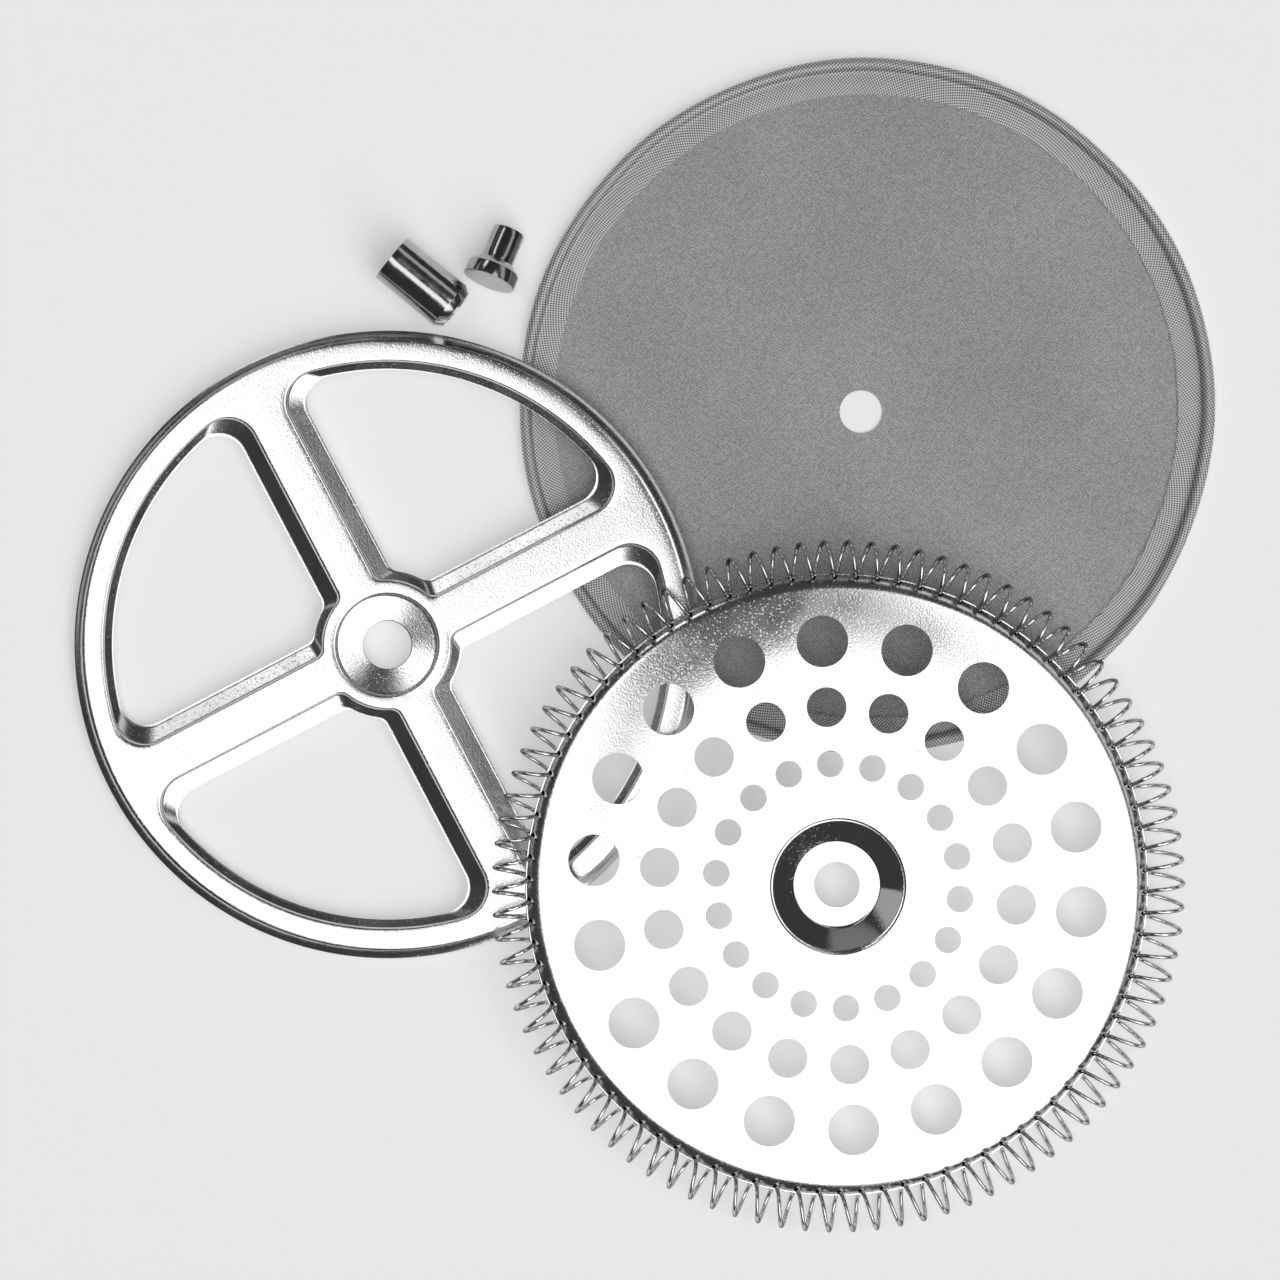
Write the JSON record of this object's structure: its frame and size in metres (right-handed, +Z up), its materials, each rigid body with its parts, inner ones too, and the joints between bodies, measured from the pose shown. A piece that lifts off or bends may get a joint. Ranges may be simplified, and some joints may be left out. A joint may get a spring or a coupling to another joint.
{
  "type": "plunger coffee pot filter set",
  "caption": "Loose filter set of a plunger coffee pot: woven wire screen, spoked cross plate, perforated plate with a coil spring round its rim, threaded sleeve and flanged nut.",
  "frame": {"origin": "on the table, under the middle of the whole layout", "axes": "+Z up; +Y from the spiral plate towards the screen; +X from the cross plate towards the screen"},
  "size_m": [0.1662, 0.1709, 0.0125],
  "materials": {
    "wire_cloth": "woven",
    "stamped_steel": "polished",
    "polished_steel": "polished",
    "spring_wire": "bright drawn",
    "dark_chrome": "polished",
    "turned_steel": "turned and polished"
  },
  "bodies": {
    "screen": {"mesh_screen": "wire_cloth"},
    "cross": {"cross_plate": "stamped_steel"},
    "spiral": {"spiral_plate": "polished_steel", "coil_spring": "spring_wire"},
    "sleeve": {"clamping_sleeve": "dark_chrome"},
    "nut": {"flanged_nut": "turned_steel"}
  },
  "joints": [
    {"name": "cross_lift", "type": "slide", "parent": "screen", "child": "cross", "axis": [0, 0, 1], "range_m": [0, 0.04]},
    {"name": "spiral_lift", "type": "slide", "parent": "cross", "child": "spiral", "axis": [0, 0, 1], "range_m": [0, 0.05]},
    {"name": "sleeve_lift", "type": "slide", "parent": "screen", "child": "sleeve", "axis": [0, 0, 1], "range_m": [0, 0.03]},
    {"name": "nut_lift", "type": "slide", "parent": "screen", "child": "nut", "axis": [0, 0, 1], "range_m": [0, 0.03]}
  ]
}
